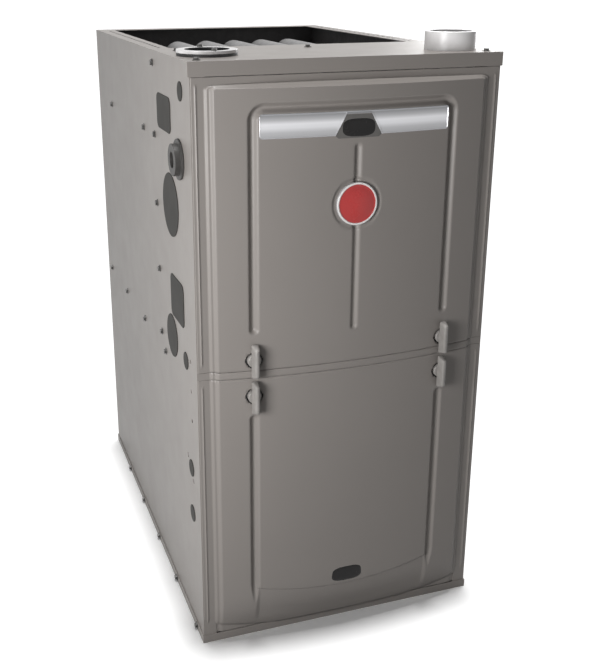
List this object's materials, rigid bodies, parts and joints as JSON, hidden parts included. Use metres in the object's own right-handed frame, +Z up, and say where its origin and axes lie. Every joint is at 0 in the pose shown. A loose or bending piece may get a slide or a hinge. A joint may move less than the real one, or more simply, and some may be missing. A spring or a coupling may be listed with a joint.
{
  "type": "upflow gas furnace",
  "caption": "Upflow condensing gas furnace: grey sheet cabinet, bow-front lift-off doors with winged latches, top supply opening, plastic vent, burners, tubes and blower inside.",
  "frame": {"origin": "centre of the casing's footprint, on the floor, in the base pan's underside", "axes": "+Z up, front and doors towards -Y, +X to the right of a person who faces the doors"},
  "size_m": [0.4606, 0.7428, 0.8912],
  "materials": {
    "cabinet_paint": "satin warm grey enamel",
    "galvanised": "bright galvanised sheet",
    "zinc": "zinc plated",
    "tube_steel": "aluminised steel",
    "coil_metal": "plain aluminium fins",
    "motor_shell": "black enamel",
    "valve_metal": "cast, matt",
    "white_plastic": "white, slightly glossy",
    "black_plastic": "matt black",
    "grey_plastic": "matt dark grey",
    "window_black": "glossy black",
    "knob_plastic": "moulded to match the doors",
    "plate_metal": "satin silver",
    "plate_red": "red, domed",
    "rubber_black": "black rubber",
    "lining": "dark faced insulation",
    "board_green": "green solder mask",
    "ceramic_white": "white ceramic",
    "knob_red": "red moulded knob"
  },
  "bodies": {
    "cabinet": {"air_collar": "cabinet_paint", "air_collar_gasket": "rubber_black", "back_panel": "cabinet_paint", "base_pan": "cabinet_paint", "blower_deck": "galvanised", "blower_housing": "galvanised", "blower_motor": "motor_shell", "board_components": "black_plastic", "burner_box": "galvanised", "burners": "tube_steel", "cabinet_screws": "zinc", "centre_trim": "cabinet_paint", "collector_box": "black_plastic", "condensate_trap": "black_plastic", "control_board": "board_green", "control_panel": "galvanised", "door_rail": "galvanised", "door_switch": "black_plastic", "drain_hose": "rubber_black", "flame_sensor": "ceramic_white", "gas_grommet": "rubber_black", "gas_manifold": "motor_shell", "gas_valve": "valve_metal", "igniter": "ceramic_white", "inducer_housing": "black_plastic", "inducer_motor": "motor_shell", "junction_box": "galvanised", "knockout_plugs": "grey_plastic", "left_panel": "cabinet_paint", "limit_switches": "black_plastic", "motor_bracket": "galvanised", "pressure_switch": "grey_plastic", "primary_tubes": "tube_steel", "rear_header": "tube_steel", "right_panel": "cabinet_paint", "secondary_coil": "coil_metal", "top_plate": "cabinet_paint", "transformer": "tube_steel", "vent_coupling": "white_plastic", "vent_pipe": "white_plastic", "vestibule_panel": "galvanised", "wall_insulation": "lining"},
    "upper_door": {"upper_door": "cabinet_paint", "upper_window": "window_black", "strip_plate": "plate_metal", "round_plate": "plate_red", "upper_latch_cups": "black_plastic"},
    "lower_door": {"lower_door": "cabinet_paint", "lower_window": "window_black", "lower_latch_cups": "black_plastic", "switch_striker": "grey_plastic"},
    "upper_left_latch": {"upper_left_latch": "knob_plastic"},
    "upper_right_latch": {"upper_right_latch": "knob_plastic"},
    "lower_left_latch": {"lower_left_latch": "knob_plastic"},
    "lower_right_latch": {"lower_right_latch": "knob_plastic"},
    "blower_rotor": {"blower_wheel": "galvanised", "blower_shaft": "zinc"},
    "inducer_rotor": {"inducer_wheel": "black_plastic"},
    "gas_valve_knob": {"gas_valve_knob": "knob_red"},
    "switch_plunger": {"switch_plunger": "white_plastic"}
  },
  "joints": [
    {"name": "upper_door_off", "type": "slide", "parent": "cabinet", "child": "upper_door", "axis": [0, -1, 0], "range_m": [0, 0.4]},
    {"name": "lower_door_off", "type": "slide", "parent": "cabinet", "child": "lower_door", "axis": [0, -1, 0], "range_m": [0, 0.4]},
    {"name": "upper_left_latch_turn", "type": "hinge", "parent": "upper_door", "child": "upper_left_latch", "pos_m": [-0.1445, -0.37, 0.46], "axis": [0, 1, 0], "range_deg": [0, 90]},
    {"name": "upper_right_latch_turn", "type": "hinge", "parent": "upper_door", "child": "upper_right_latch", "pos_m": [0.1445, -0.37, 0.46], "axis": [0, 1, 0], "range_deg": [0, 90]},
    {"name": "lower_left_latch_turn", "type": "hinge", "parent": "lower_door", "child": "lower_left_latch", "pos_m": [-0.1445, -0.37, 0.406], "axis": [0, 1, 0], "range_deg": [0, 90]},
    {"name": "lower_right_latch_turn", "type": "hinge", "parent": "lower_door", "child": "lower_right_latch", "pos_m": [0.1445, -0.37, 0.406], "axis": [0, 1, 0], "range_deg": [0, 90]},
    {"name": "blower_spin", "type": "hinge", "parent": "cabinet", "child": "blower_rotor", "pos_m": [0, 0.06, 0.205], "axis": [1, 0, 0], "continuous": true},
    {"name": "inducer_spin", "type": "hinge", "parent": "cabinet", "child": "inducer_rotor", "pos_m": [0.025, -0.212, 0.52], "axis": [0, 1, 0], "continuous": true},
    {"name": "gas_valve_turn", "type": "hinge", "parent": "cabinet", "child": "gas_valve_knob", "pos_m": [-0.15025, -0.324, 0.747], "axis": [0, 1, 0], "range_deg": [0, 90]},
    {"name": "switch_press", "type": "slide", "parent": "cabinet", "child": "switch_plunger", "axis": [0, 1, 0], "range_m": [0, 0.003], "stiffness_N_per_m": 300, "springref_m": -0.006}
  ]
}
